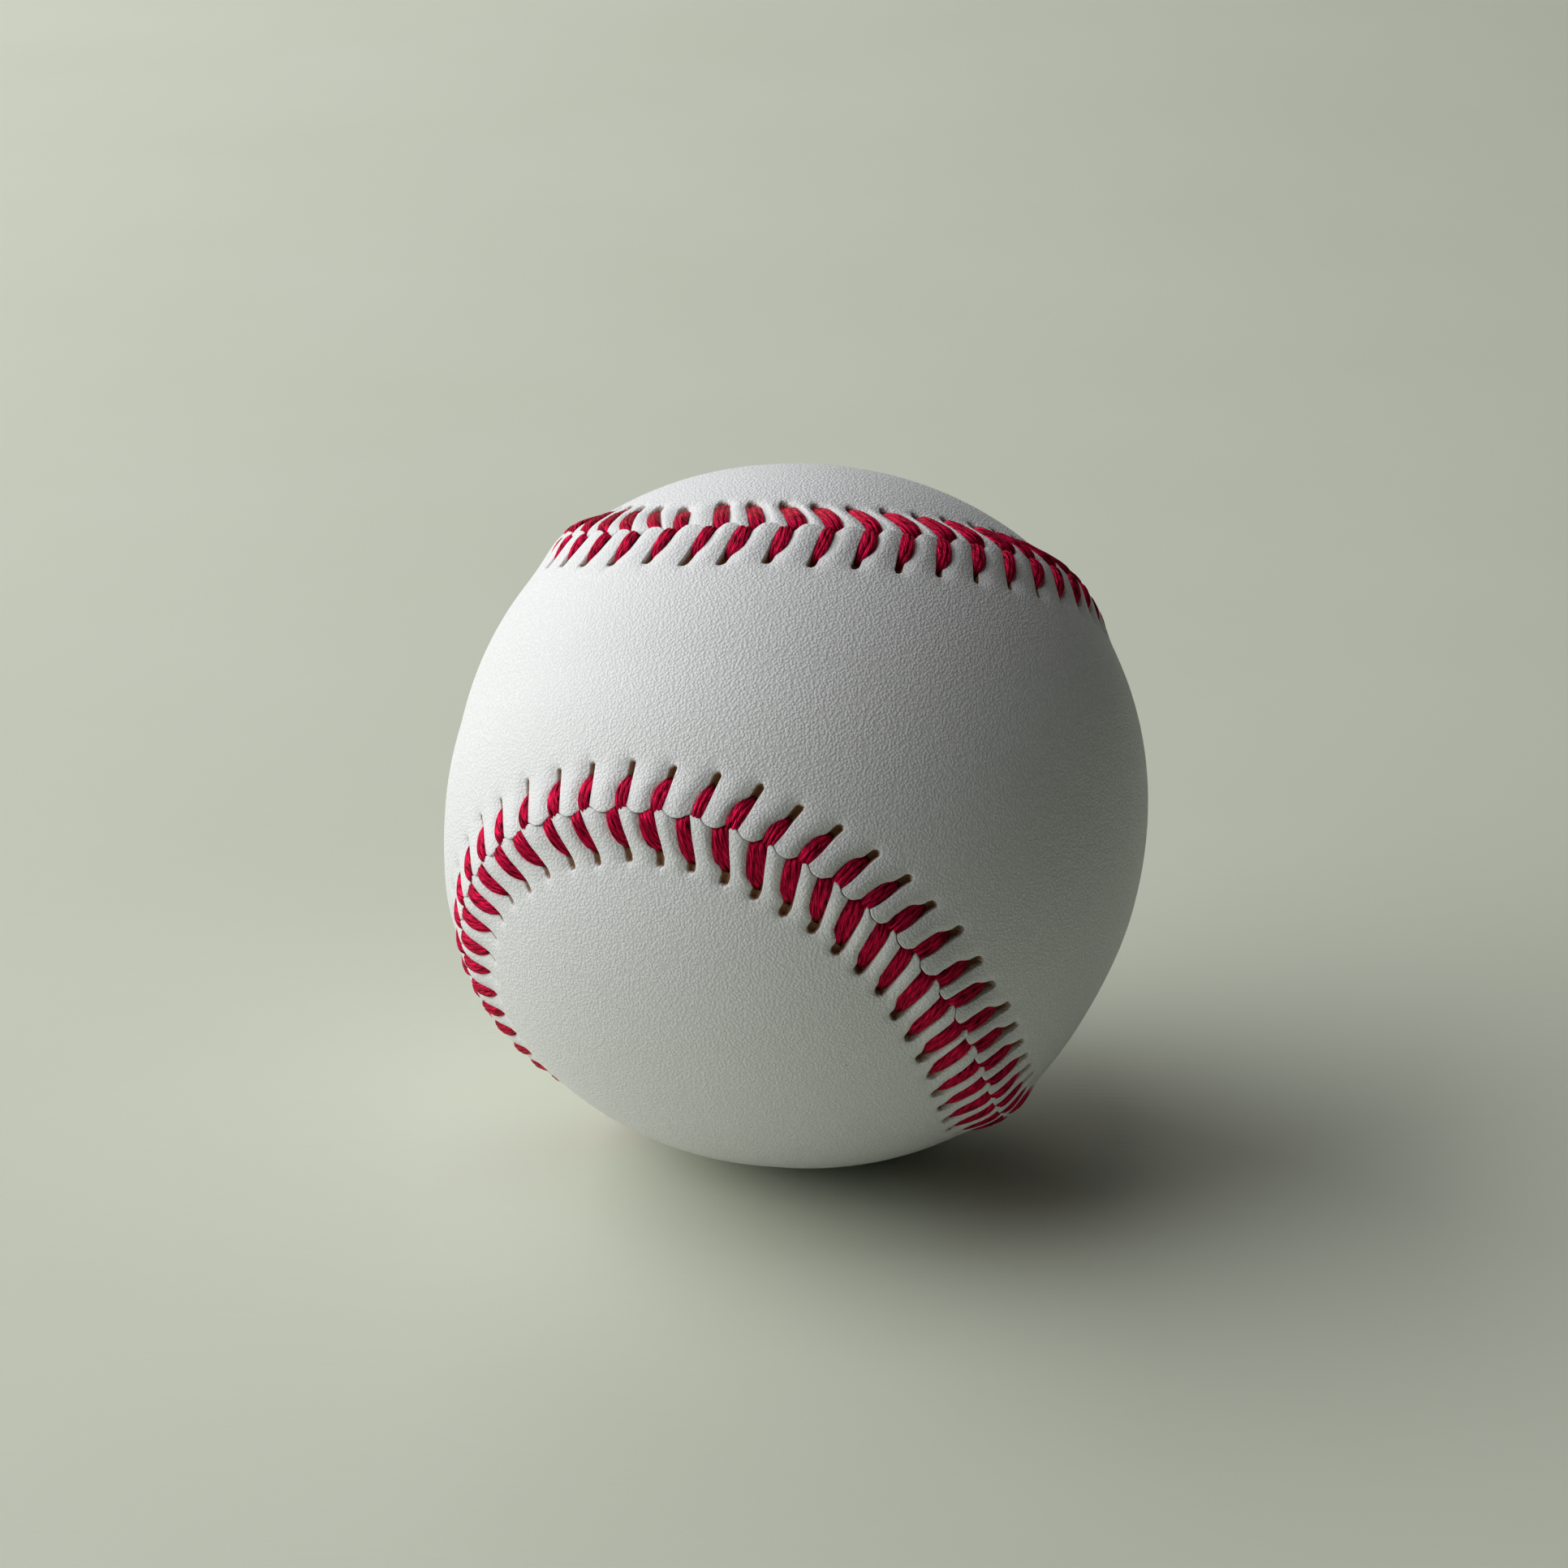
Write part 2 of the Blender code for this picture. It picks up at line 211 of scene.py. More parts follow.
LEG_HOLE_END = {
    WAIST: {
        0: 3.1, 8: 3.2, 12: 3.3, 14.5: 3.2, 17: 3.1, 21: 3.5, 30: 4.1,
        62: 3.6, 66: 3.4, 71: 3.6, 77: 4.2, 94: 4.1,
    },
    LOBE: {
        0: 4.8, 11: 4.95, 12: 4.95, 13: 5.4, 14: 3.9, 15: 4.9, 16: 5.4, 17: 5.4, 21: 4.8, 30: 4.2,
        60: 3.8, 67: 3.55, 72: 4.0, 77: 4.55, 94: 4.3,
    },
}
SINK_FROM = 1.2
LEG_SEAM_END = {WAIST: 0.0, LOBE: -0.26}
LEG_FLATNESS = 4.5
# The thread fills its slot and a little more, and draws together below the leather
OVERFILL = 0.04
HIDDEN_HALF = 0.45
SPREAD_RADIUS = 36.4
LINK_DIP = 0.12
# Rings along a leg, closer where it bends, and along the hidden run to the next one
LEG_RINGS = 15
LEG_TRACE = 300
TRACE_FROM = 0.02
RING_STEP = 0.5
RING_BEND = 0.40
LINK_RINGS = 3
# Plies on top of the thread: points across and below, how much they stand out, their number and twist
TOP_POINTS = 20
UNDER_POINTS = 5
PLY_SHARE = 0.55
PLY_DEPTH = 0.96
TOP_ROUNDNESS = 2.3
UNDER_FULLNESS = 0.9
# How strongly the grooves between plies are painted with shade
GROOVE_SHADE = 0.55
PLY_COUNT = (2.4, 3.4)
PLY_TWIST = (0.4, 1.1)
PLY_SEED = 11


def unit(vectors):
    return vectors / np.linalg.norm(vectors, axis=-1, keepdims=True)


def ease(low, high, x):
    share = np.clip((x - low) / (high - low), 0, 1)
    return share * share * (3 - 2 * share)


class Seam:
    """The closed seam line, read by stitch number and by distance to one side."""

    def __init__(self):
        t = np.linspace(0, 2 * np.pi, SEAM_SAMPLES + 1)
        first = 1 - SEAM_THIRD - SEAM_FIFTH
        x = first * np.cos(t) + SEAM_THIRD * np.cos(3 * t) + SEAM_FIFTH * np.cos(5 * t)
        y = first * np.sin(t) - SEAM_THIRD * np.sin(3 * t) + SEAM_FIFTH * np.sin(5 * t)
        self.line = unit(np.stack([x, y, SEAM_HEIGHT * np.sin(2 * t)], axis=1))
        steps = np.linalg.norm(np.diff(self.line, axis=0), axis=1)
        self.run = np.concatenate([[0], np.cumsum(steps)])
        stitch = self.run / self.run[-1] * STITCHES
        aside = np.zeros_like(stitch)
        for at, reach, far in PULLED_ASIDE:
            away = (stitch - at + STITCHES / 2) % STITCHES - STITCHES / 2
            aside = aside + far * np.exp(-((away / reach) ** 2))
        self.line = unit(self.line + self.sideways() * aside[:, None] / BAND_RADIUS)
        self.across = self.sideways()

    def sideways(self):
        """Directions across the seam, toward the waist panel."""
        ahead = np.roll(self.line[:-1], -1, axis=0) - np.roll(self.line[:-1], 1, axis=0)
        across = np.cross(self.line[:-1], unit(ahead))
        return np.concatenate([across, across[:1]])

    def place(self, stitch, offset):
        """Directions from the ball's centre."""
        turn = stitch / STITCHES
        swing = PITCH_SWING / (8 * np.pi) * np.sin(8 * np.pi * (turn - 1 / 8))
        run = (turn + swing) % 1 * self.run[-1]
        here = np.stack([np.interp(run, self.run, column) for column in self.line.T], -1)
        side = np.stack([np.interp(run, self.run, column) for column in self.across.T], -1)
        angle = (np.zeros_like(run) + offset)[..., None] / BAND_RADIUS
        return unit(np.cos(angle) * here + np.sin(angle) * side)

    def pitch(self, stitch, offset):
        """Length of one stitch, measured at that distance from the seam."""
        step = 0.05
        ends = self.place(stitch + step, offset) - self.place(stitch - step, offset)
        return np.linalg.norm(ends, axis=-1) * BAND_RADIUS / (2 * step)

    def distance(self, directions, side):
        """Distance to the seam, below zero on the other panel."""
        closeness = directions @ self.line[:-1].T
        nearest = closeness.argmax(axis=1)
        gap = np.arccos(np.clip(closeness.max(axis=1), -1, 1)) * BAND_RADIUS
        return gap * np.sign((self.across[nearest] * directions).sum(axis=1)) * side


SEAM = Seam()


def crest(distance, side):
    """Radius of a panel's outer face before slots and fingers are pressed into it."""
    reach = np.clip(np.abs(distance) / PANEL_RISE_REACH, 0, 1)
    rise = (SEAM_LEVEL - PANEL_MIDDLE[side]) * (1 + np.cos(np.pi * reach)) / 2
    return PANEL_MIDDLE[side] + rise + RIDGE_RISE * np.exp(-((distance / RIDGE_REACH) ** 2))


def round_seam(values, stitch):
    """A value at any stitch number, from those given at a few places round the closed seam."""
    return np.interp(stitch, list(values), list(values.values()), period=STITCHES)


class Slots:
    """The 108 slots on one side of the seam, each a little unlike the next."""

    def __init__(self, side):
        chance = np.random.default_rng(STITCH_SEED[side])
        count = np.arange(STITCHES)
        self.side = side
        self.lean = round_seam(LEAN[side], count) + chance.normal(0, LEAN_STRAY, STITCHES)
        self.ahead = round_seam(RUN_AHEAD, count) + round_seam(HOLE_STAGGER[side], count)
        self.ahead = self.ahead + chance.normal(0, PLACE_STRAY, STITCHES)
        self.fullness = round_seam(SLOT_FULLNESS[side], count)
        self.fullness = self.fullness * (1 + chance.normal(0, FULLNESS_STRAY, STITCHES))
        self.end = round_seam(HOLE_END[side], count) + chance.normal(0, HOLE_END_STRAY, STITCHES)
        self.leg_end = round_seam(LEG_HOLE_END[side], count) + chance.normal(0, LEG_END_STRAY, STITCHES)
        self.hole_half = round_seam(HOLE_HALF[side], count)
        self.hole_depth = round_seam(HOLE_DEPTH[side], count)
        self.narrowing = round_seam(NARROWING[side], count)

    def centre(self, k, row):
        """Stitch number of slot k's middle line at that distance from the seam."""
        inward = np.clip(1 - row / LEAN_REACH[self.side], 0, LEAN_PAST_SEAM)
        line = k + 0.5 + self.ahead[k % STITCHES] - self.lean[k % STITCHES] * inward
        usual = (SLOT_HALF[self.side][1] + self.hole_half[k % STITCHES]) / 2
        return line + NARROWING_SKEW * (usual - self.half(k, row)) / SEAM.pitch(line, self.side * row)

    def half(self, k, row):
        """Half width of slot k at that distance from the seam."""
        at_seam, middle = SLOT_HALF[self.side]
        swell = at_seam + (middle - at_seam) * ease(*SLOT_SWELL, row)
        past_leg = row - self.leg_end[k % STITCHES]
        narrow = ease(-self.narrowing[k % STITCHES], NARROWED_PAST_LEG, past_leg)
        return swell * self.fullness[k % STITCHES] * (1 - narrow) + self.hole_half[k % STITCHES] * narrow


SLOTS = {side: Slots(side) for side in (WAIST, LOBE)}

# Grid of the sewn band: rows away from the seam, columns across a slot and a finger, and the cells left out
# of each slot for its hole
BAND_ROWS = np.array(
    [0, 0.05, 0.12, 0.22, 0.36, 0.55, 0.80, 1.10, 1.45, 1.85, 2.25, 2.65, 3.05, 3.40, 3.70, 4.00, 4.25, 4.50]
    + [4.75, 5.00, 5.20, 5.36, 5.50, 5.62, 5.74, 5.86, 6.00, 6.16, 6.36, 6.66, 7.05, 7.55, 8.20, SEWN_BAND]
)
SLOT_COLUMNS = np.array([-1, -0.86, -0.6, -0.3, 0, 0.3, 0.6, 0.86, 1])
SHOULDER_COLUMNS = np.array([0.4, 1.0])
FINGER_COLUMNS = 6
HOLE_COLUMNS = (4, 8)
HOLE_ROWS = (15, 18)
# Rows are drawn to a leg's own length over the first of these distances and let go again over the second
ROWS_DRAWN = (0.6, 3.8)
ROWS_LET_GO = (4.9, 8.4)


def seam_wave(stitch):
    """Where the two panels meet: the waist panel's finger tips reach over the middle line."""
    tip = stitch - round_seam(RUN_AHEAD, stitch) + round_seam(LEAN[WAIST], stitch)
    return EDGE_SHIFT - EDGE_WAVE * np.tanh(EDGE_SQUARE * np.cos(2 * np.pi * tip)) / np.tanh(EDGE_SQUARE)


def sewn_band(slots):
    """Directions, distances, outer radii and bare-edge shares, in columns along the seam and rows away."""
    side = slots.side
    k = np.arange(STITCHES)[:, None, None]
    # Rows shift with each leg, so that the hole through the leather lies where the thread goes down
    shift = ease(*ROWS_DRAWN, BAND_ROWS) * (1 - ease(*ROWS_LET_GO, BAND_ROWS))
    row = BAND_ROWS + (slots.leg_end[k] - BAND_ROWS[list(HOLE_ROWS)].mean()) * shift
    centre = slots.centre(k, row)
    pitch = SEAM.pitch(centre, side * row)
    half = slots.half(k, row)
    inside = half * SLOT_COLUMNS[None, :, None]
    shoulder = half + SLOT_SHOULDER * SHOULDER_COLUMNS[None, :, None]
    x = np.concatenate([-shoulder[:, ::-1], inside, shoulder], axis=1)
    stitch = centre + x / pitch
    first = np.concatenate([stitch[1:, :1], stitch[:1, :1] + STITCHES], axis=0)
    last = stitch[:, -1:]
    share = (np.arange(1, FINGER_COLUMNS + 1) / (FINGER_COLUMNS + 1))[None, :, None]
    finger = last + (first - last) * share
    ahead = np.concatenate([centre[1:], centre[:1] + STITCHES], axis=0)
    reach = np.minimum(finger - centre, ahead - finger) * pitch
    stitch = np.concatenate([stitch, finger], axis=1)
    away = np.concatenate([np.abs(x), reach], axis=1)
    front = np.clip(x / half, -1, 1)
    front = np.concatenate([front, np.where(finger - centre < ahead - finger, 1.0, -1.0)], axis=1)
    finger_half = (first - last) / 2 * pitch + SLOT_SHOULDER
    # Across a finger the rows pass over from one leg's to the next
    next_row = np.concatenate([row[1:], row[:1]], axis=0)
    row = np.concatenate([np.repeat(row, x.shape[1], axis=1), row + (next_row - row) * share], axis=1)

    edge = round_seam(SEAM_CRACK, stitch[:, :, :1]) / 2 + side * seam_wave(stitch[:, :, :1])
    edge = edge + EDGE_NOTCH * (1 - ease(*NOTCH_FADE, away[:, :, :1] / half[:, :, :1]))
    distance = row + edge * (1 - ease(0, EDGE_REACH, row))

    cap = row - (slots.end[k] - half)
    away = np.where(cap > 0, np.hypot(away, np.maximum(cap, 0)), away)
    lip = np.clip((away - half) / finger_half, 0, 1)
    rounding = (FINGER_ROUND - ROUND_SKEW * front) * (1 - ease(*ROUND_FADE, row)) * (1 - lip) ** 2
    at_hole = ease(*DIP_TO_HOLE, row - slots.leg_end[k])
    depth = SLOT_DEPTH + (slots.hole_depth[k] - SLOT_DEPTH) * at_hole
    pressed = depth * ease(0, 1, (half - away) / (SLOT_WALL - WALL_SKEW * front))
    nose = EDGE_NOSE[side]
    rolled = nose - np.sqrt(np.clip(nose**2 - np.clip(nose - row, 0, None) ** 2, 0, None))
    rolled = rolled * ease(*NOSE_FADE, lip)
    tuck = EDGE_TUCK[side] * (1 - ease(0, TUCK_REACH, row))
    radius = crest(distance, side) - rounding - pressed - rolled - tuck
    cut = np.maximum(at_hole, EDGE_TAN * ease(*TAN_SIDE, front))
    bare = np.maximum(ease(*TAN_LIP, pressed) * cut, ease(*TAN_WALL, pressed))
    columns = STITCHES * stitch.shape[1]
    rows = len(BAND_ROWS)
    grid = [np.broadcast_to(a, stitch.shape).reshape(columns, rows) for a in (stitch, distance, radius, bare)]
    return SEAM.place(grid[0], side * grid[1]), grid[1], grid[2], grid[3]


def flat_chart(directions, side):
    """Mercator chart along the great circle through the long axis of a panel."""
    x, y, z = directions.T * np.array([1, side, side])[:, None]
    return np.stack([np.arctan2((x - y) / math.sqrt(2), z), np.arctanh((x + y) / math.sqrt(2))], axis=1)


def even_directions(count):
    """Directions spread evenly over the whole ball."""
    k = np.arange(count) + 0.5
    z = 1 - 2 * k / count
    turn = np.pi * (1 + math.sqrt(5)) * k
    flat = np.sqrt(1 - z * z)
    return np.stack([flat * np.cos(turn), flat * np.sin(turn), z], axis=1)


def wall(distance):
    """Thickness of the leather, greater along the sewing."""
    return LEATHER_WALL + (SEWN_WALL - LEATHER_WALL) * (1 - ease(SEWN_WALL_REACH, SEWN_BAND, distance))


def panel_piece(name, slots):
    """One closed leather panel: sewn band, smooth middle, cut edge, underside and the holes between."""
    side = slots.side
    directions, distance, radius, bare = sewn_band(slots)
    columns, rows = radius.shape
    under_rows = [0, HOLE_ROWS[0], HOLE_ROWS[1], rows - 1]
    under_radius = crest(distance[:, under_rows], side) - wall(distance[:, under_rows])

    middle = even_directions(PANEL_POINTS)
    middle_distance = SEAM.distance(middle, side)
    middle = middle[middle_distance > SEWN_BAND + PANEL_POINTS_CLEAR]
    graded = []
    for n, steps in enumerate(RING_STEPS):
        ring = directions[:: 2 ** (n + 1), -1]
        last_row = directions[:: 2 ** (n + 1), -2]
        graded.append(unit(ring + (ring - last_row) * steps))
    inner = np.concatenate([*graded, middle])
    inner_distance = SEAM.distance(inner, side)
    inner_radius = crest(inner_distance, side)

    places = [
        (directions * radius[..., None]).reshape(-1, 3),
        (directions[:, under_rows] * under_radius[..., None]).reshape(-1, 3),
        inner * inner_radius[:, None],
        inner * (inner_radius - wall(inner_distance))[:, None],
    ]
    starts = np.cumsum([0] + [len(p) for p in places])
    top = np.arange(starts[0], starts[1]).reshape(columns, rows)
    under = np.arange(starts[1], starts[2]).reshape(columns, len(under_rows))

    def grid_faces(ids):
        ahead = np.roll(ids, -1, axis=0)
        return np.stack([ids[:, :-1], ahead[:, :-1], ahead[:, 1:], ids[:, 1:]], axis=-1)

    per_stitch = columns // STITCHES
    left, right = HOLE_COLUMNS
    near, far = HOLE_ROWS
    slot_column = np.arange(columns) % per_stitch
    over_hole = (slot_column >= left) & (slot_column < right)
    top_keep = np.ones((columns, rows - 1), bool)
    top_keep[over_hole, near:far] = False
    under_keep = np.ones((columns, len(under_rows) - 1), bool)
    under_keep[over_hole, 1] = False
    faces = grid_faces(top)[top_keep].tolist()
    faces += grid_faces(under)[under_keep][:, ::-1].tolist()
    rim = np.stack([top[:, 0], under[:, 0], np.roll(under[:, 0], -1), np.roll(top[:, 0], -1)], axis=-1)
    faces += rim.tolist()
    for base in range(0, columns, per_stitch):
        a, b = base + left, base + right
        for c in range(a, b):
            faces.append([top[c, near], top[c + 1, near], under[c + 1, 1], under[c, 1]])
            faces.append([top[c + 1, far], top[c, far], under[c, 2], under[c + 1, 2]])
        faces.append([under[a, 1], under[a, 2], *top[a, near : far + 1][::-1]])
        faces.append([under[b, 2], under[b, 1], *top[b, near : far + 1]])

    outline = top[:, -1]
    chart = np.concatenate([flat_chart(directions[:, -1], side), flat_chart(inner, side)])
    ring = [(c, (c + 1) % columns) for c in range(columns)]
    flat = geometry.delaunay_2d_cdt([Vector(p) for p in chart.tolist()], ring, [], 1, 1e-9)
    source = np.array([ids[0] for ids in flat[3]])
    above = np.concatenate([outline, np.arange(starts[2], starts[3])])[source]
    below = np.concatenate([under[:, -1], np.arange(starts[3], starts[4])])[source]
    triangles = np.array(flat[2])
    vertices = np.concatenate(places)
    corners = vertices[above[triangles]]
    normal = np.cross(corners[:, 1] - corners[:, 0], corners[:, 2] - corners[:, 0])
    outward = (normal * corners[:, 0]).sum(axis=1) > 0
    triangles = np.where((outward == (side == WAIST))[:, None], triangles, triangles[:, ::-1])
    faces += above[triangles].tolist()
    faces += below[triangles[:, ::-1]].tolist()
    if side == LOBE:
        faces = [face[::-1] for face in faces]

    piece = new_piece(name, vertices, faces)
    share = np.zeros(len(vertices))
    share[top.ravel()] = bare.ravel()
    share[under.ravel()] = 1
    share[starts[3] :] = 1
    mark(piece, "bare_edge", share)
    return piece


def new_piece(name, vertices, faces):
    """A smooth mesh in the ball's own attitude, from points in millimetres."""
    turn = np.array(Euler([math.radians(a) for a in BALL_TURN]).to_matrix())
    placed = vertices @ turn.T
    out = unit(placed)
    for direction, depth, reach in OUT_OF_ROUND:
        away = np.linalg.norm(out - unit(np.array(direction)), axis=1) * BAND_RADIUS
        placed = placed - depth * np.exp(-((away / reach) ** 2))[:, None] * out
    mesh = bpy.data.meshes.new(name)
    mesh.from_pydata((placed * MM).tolist(), [], faces)
    mesh.shade_smooth()
    piece = bpy.data.objects.new(name, mesh)
    bpy.context.scene.collection.objects.link(piece)
    return piece


def mark(piece, name, values):
    """A number kept on each point for the material to read."""
    layer = piece.data.attributes.new(name, "FLOAT", "POINT")
    layer.data.foreach_set("value", values.astype(np.float32))


def leg_path(slots, k):
    """Middle line of one leg, from under its hole up, over the leather and down into the seam."""
    hole, dive = slots.leg_end[k], LEG_SEAM_END[slots.side]
    turn = np.linspace(TRACE_FROM, np.pi - TRACE_FROM, LEG_TRACE)
    reach = np.sign(np.cos(turn)) * np.abs(np.cos(turn)) ** (2 / LEG_FLATNESS)
    lift = np.sin(turn) ** (2 / LEG_FLATNESS)
    row = (hole + dive) / 2 + (hole - dive) / 2 * reach
    sink = round_seam(THREAD_SINK[slots.side], k) + round_seam(SINK_AT_HOLE, k) * ease(SINK_FROM, hole, row)
    top = crest(row, slots.side) - THREAD_HALF - sink
    radius = THREAD_UNDER + (top - THREAD_UNDER) * lift
    step = np.hypot(np.diff(row), np.diff(radius))
    bend = np.abs(np.diff(np.unwrap(np.arctan2(np.diff(radius), np.diff(row)))))
    cost = np.cumsum(step / RING_STEP + np.concatenate([[0], bend]) / RING_BEND)
    cost = np.concatenate([[0], cost])
    ring = np.interp(np.linspace(0, cost[-1], LEG_RINGS), cost, np.arange(len(row)))
    return np.interp(ring, np.arange(len(row)), row), np.interp(ring, np.arange(len(row)), radius)


def ply_section(half_wide, half_high, ply):
    """Outline of the flattened thread across a leg, its plies standing out, and the painted shade of each
    point: in the grooves between plies, and full on the underside.
    """
    x = np.linspace(1, -1, TOP_POINTS)
    round_top = np.sqrt(np.clip(1 - np.abs(x) ** TOP_ROUNDNESS, 0, None))
    strand = ply[0] * (x + 1) / 2 + ply[1]
    strand_top = np.sqrt(np.clip(1 - PLY_DEPTH * (2 * (strand % 1) - 1) ** 2, 0, None))
    y = round_top * (1 - PLY_SHARE + PLY_SHARE * strand_top)
    turn = np.pi * np.arange(1, UNDER_POINTS + 1) / (UNDER_POINTS + 1)
    x = np.concatenate([x, -np.cos(turn)]) * half_wide
    y = np.concatenate([y, -UNDER_FULLNESS * np.sin(turn)]) * half_high
    return x, y, np.concatenate([GROOVE_SHADE * (1 - strand_top), np.ones(UNDER_POINTS)])


def sewn_thread(name):
    """One thread with a needle at each end, sewn hole after hole against the count from the middle out."""
    chance = np.random.default_rng(PLY_SEED)
    strands = [needle_rings(first, chance) for first in (WAIST, LOBE)]
    # The first strand is walked back to the middle, so that the thread runs on through it
    back = [(place, -tangent, -across, section) for place, tangent, across, section in strands[0][::-1]]
    rings = back + strands[1]
    vertices = []
    size = len(rings[0][3][0])
    for place, tangent, across, (x, y, _) in rings:
        up = np.cross(across, tangent)
        vertices.append(place + x[:, None] * across + y[:, None] * up)
    ids = np.arange(len(rings) * size).reshape(len(rings), size)
    ahead = np.roll(ids, -1, axis=1)
    faces = np.stack([ids[:-1], ids[1:], ahead[1:], ahead[:-1]], axis=-1).reshape(-1, 4).tolist()
    faces += [ids[0].tolist(), ids[-1][::-1].tolist()]
    piece = new_piece(name, np.concatenate(vertices), faces)
    steps = np.linalg.norm(np.diff([ring[0] for ring in rings], axis=0), axis=1)
    mark(piece, "along_thread", np.repeat(np.concatenate([[0], np.cumsum(steps)]), size))
    mark(piece, "across_thread", np.concatenate([ring[3][0] for ring in rings]))
    mark(piece, "painted_ply_shade", np.concatenate([ring[3][2] for ring in rings]))
    return piece


def needle_rings(first_side, chance):
    """Rings of one needle's run: middle, heading, across and outline of each."""
    rings = []
    side = first_side
    for n in range(STITCHES):
        k = -n % STITCHES
        slots = SLOTS[side]
        row, radius = leg_path(slots, k)
        centre = slots.centre(k, row)
        out = SEAM.place(centre, side * row)
        step = 0.05
        inward = SEAM.place(slots.centre(k, row - step), side * (row - step)) - out
        across = unit(np.cross(unit(inward), out))
        place = out * radius[:, None]
        tangent = unit(np.gradient(place, axis=0))
        full = slots.half(k, np.maximum(row, 0)) + OVERFILL
        lifted = ease(THREAD_UNDER, SPREAD_RADIUS, radius)
        ply = (chance.uniform(*PLY_COUNT), chance.uniform(0, 1), chance.uniform(*PLY_TWIST))
        for i in range(LEG_RINGS):
            wide = HIDDEN_HALF + (full[i] - HIDDEN_HALF) * lifted[i]
            twist = (ply[0], ply[1] + ply[2] * i / LEG_RINGS)
            rings.append((place[i], tangent[i], across[i], ply_section(wide, THREAD_HALF, twist)))
        other = SLOTS[-side]
        ahead_row = leg_path(other, (k - 1) % STITCHES)[0]
        target = SEAM.place(other.centre(np.array(k - 1), ahead_row[:1]), -side * ahead_row[:1])[0]
        rings += link_rings(out[-1], target, ply)
        side = -side
    return rings[: -LINK_RINGS]


def link_rings(start, end, ply):
    """The hidden run under the leather to the next hole, turning over once on its way."""
    rings = []
    for n in range(1, LINK_RINGS + 1):
        share = n / (LINK_RINGS + 1)
        out = unit(start + (end - start) * share)
        heading = unit(np.cross(out, np.cross(end - start, out)))
        level = np.cross(heading, out)
        turn = np.pi * share
        across = math.cos(turn) * level + math.sin(turn) * np.cross(heading, level)
        place = out * (THREAD_UNDER - LINK_DIP * math.sin(np.pi * share))
        rings.append((place, heading, across, ply_section(HIDDEN_HALF, THREAD_HALF, ply[:2])))
    return rings


def linear(hex_colour):
    """Linear RGBA of an sRGB hex colour."""
    parts = [int(hex_colour[i : i + 2], 16) / 255 for i in (1, 3, 5)]
    return (*[p / 12.92 if p <= 0.04045 else ((p + 0.055) / 1.055) ** 2.4 for p in parts], 1)


def add(tree, kind, values=None, links=None, **settings):
    """A node with its settings, socket values and incoming links."""
    node = tree.nodes.new(kind)
    for setting, value in settings.items():
        setattr(node, setting, value)
    for socket, value in (values or {}).items():
        node.inputs[socket].default_value = value
    for socket, source in (links or {}).items():
        tree.links.new(source, node.inputs[socket])
    return node


def new_material(name):
    material = bpy.data.materials.new(name)
    material.use_nodes = True
    tree = material.node_tree
    return material, tree, tree.nodes["Principled BSDF"]


def per_mm(size):
    """Texture scale whose pattern repeats at that size, in millimetres."""
    return 1 / (size * MM)


def alum_tanned_leather():
    """White alum-tanned horsehide, plated with a fine pebble grain: a chalky satin, tan where it was cut."""
    material, tree, shader = new_material("plated_alum_tanned_leather")
    place = add(tree, "ShaderNodeTexCoord").outputs["Object"]
    # Pebbles are drawn 0.29 mm across, a little coarser than the plate's, so that they show
    pebble = add(tree, "ShaderNodeTexVoronoi", {"Scale": per_mm(0.29)}, {"Vector": place})
    plated = add(
        tree,
        "ShaderNodeMapRange",
        {"From Min": 0.75, "From Max": 0.15},
        {"Value": pebble.outputs["Distance"]},
        interpolation_type="SMOOTHSTEP",
    )
    bump = add(
        tree,
        "ShaderNodeBump",
        {"Strength": 1.0, "Distance": 0.046 * MM},
        {"Height": plated.outputs["Result"]},
    )
    cloud = add(tree, "ShaderNodeTexNoise", {"Scale": per_mm(9), "Detail": 4}, {"Vector": place})
    white = add(
        tree,
        "ShaderNodeMix",
        {6: linear("#f1f2f5"), 7: linear("#eaebee")},
        {0: cloud.outputs["Fac"]},
        data_type="RGBA",
    )
    # Painted shade: the valleys between pebbles are darkened toward #dfe0e0, standing in for the small
    # shadows of the grain
    painted_valley_shade = add(
        tree,
        "ShaderNodeMix",
        {6: linear("#dfe0e0")},
        {0: plated.outputs["Result"], 7: white.outputs[2]},
        data_type="RGBA",
    )
    speck = add(tree, "ShaderNodeTexVoronoi", {"Scale": per_mm(4.5)}, {"Vector": place})
    dot = add(
        tree,
        "ShaderNodeMapRange",
        {"From Min": 0.022, "From Max": 0.012},
        {"Value": speck.outputs["Distance"]},
    )
    dusted = add(
        tree,
        "ShaderNodeMix",
        {7: linear("#77726a")},
        {0: dot.outputs["Result"], 6: painted_valley_shade.outputs[2]},
        data_type="RGBA",
    )
    bare = add(tree, "ShaderNodeAttribute", attribute_name="bare_edge")
    tan = add(
        tree,
        "ShaderNodeMix",
        {7: linear("#9c7350")},
        {0: bare.outputs["Fac"], 6: dusted.outputs[2]},
        data_type="RGBA",
    )
    tree.links.new(tan.outputs[2], shader.inputs["Base Color"])
    tree.links.new(bump.outputs[0], shader.inputs["Normal"])
    shader.inputs["Roughness"].default_value = 0.5
    shader.inputs["IOR"].default_value = 1.5
    return material


